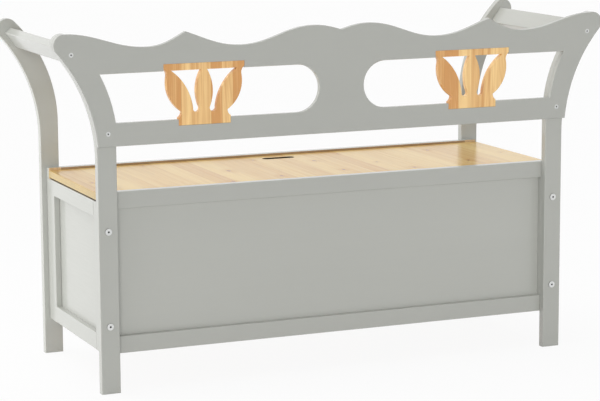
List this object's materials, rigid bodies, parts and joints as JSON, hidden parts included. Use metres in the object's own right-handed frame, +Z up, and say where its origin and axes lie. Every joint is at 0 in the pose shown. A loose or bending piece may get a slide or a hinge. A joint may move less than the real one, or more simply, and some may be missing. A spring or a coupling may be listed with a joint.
{
  "type": "storage bench",
  "caption": "Painted pine storage bench: a frame-and-panel box on outward-curled posts, with a hinged natural pine lid and a cut-out backrest with tulip splats.",
  "frame": {"origin": "on the floor, at the centre of the overall width and depth", "axes": "+Z up, +X to the right seen from the front, -Y towards the front, where a sitter's legs go"},
  "size_m": [1.291, 0.4474, 0.769],
  "materials": {
    "grey_paint": "satin paint",
    "natural_pine": "clear satin lacquer",
    "raw_wood": "raw sawn wood",
    "zinc_steel": "bright zinc",
    "brass_plate": "brass plated",
    "rubber": "matt"
  },
  "bodies": {
    "bench": {"armrest_dowels": "raw_wood", "armrest_screws": "zinc_steel", "back_bottom_rail": "grey_paint", "back_left_stile": "grey_paint", "back_panel": "grey_paint", "back_right_stile": "grey_paint", "back_top_rail": "grey_paint", "backrest_board": "grey_paint", "backrest_screws": "zinc_steel", "barrel_nuts": "zinc_steel", "cleat_screws": "zinc_steel", "floor_board": "raw_wood", "floor_screws": "zinc_steel", "frame_dowels": "raw_wood", "front_bottom_rail": "grey_paint", "front_cleat": "raw_wood", "front_left_post": "grey_paint", "front_left_stile": "grey_paint", "front_panel": "grey_paint", "front_right_post": "grey_paint", "front_right_stile": "grey_paint", "front_top_rail": "grey_paint", "hinge_frame_screws": "brass_plate", "left_armrest": "grey_paint", "left_cleat": "raw_wood", "left_end_bottom_rail": "grey_paint", "left_end_front_stile": "grey_paint", "left_end_panel": "grey_paint", "left_end_rear_stile": "grey_paint", "left_end_top_rail": "grey_paint", "left_hinge_frame_leaf": "brass_plate", "left_hinge_pin": "brass_plate", "left_splat": "natural_pine", "lid_bumpers": "rubber", "post_bolts": "zinc_steel", "rear_cleat": "raw_wood", "rear_left_post": "grey_paint", "rear_right_post": "grey_paint", "right_armrest": "grey_paint", "right_cleat": "raw_wood", "right_end_bottom_rail": "grey_paint", "right_end_front_stile": "grey_paint", "right_end_panel": "grey_paint", "right_end_rear_stile": "grey_paint", "right_end_top_rail": "grey_paint", "right_hinge_frame_leaf": "brass_plate", "right_hinge_pin": "brass_plate", "right_splat": "natural_pine", "splat_screws": "zinc_steel"},
    "lid": {"lid_panel": "natural_pine", "front_batten": "raw_wood", "rear_batten": "raw_wood", "batten_screws": "zinc_steel", "left_hinge_lid_leaf": "brass_plate", "right_hinge_lid_leaf": "brass_plate", "hinge_lid_screws": "brass_plate"}
  },
  "joints": [
    {"name": "lid_hinge", "type": "hinge", "parent": "bench", "child": "lid", "pos_m": [0, 0.1732, 0.4257], "axis": [-1, 0, 0], "range_deg": [0, 94]}
  ]
}
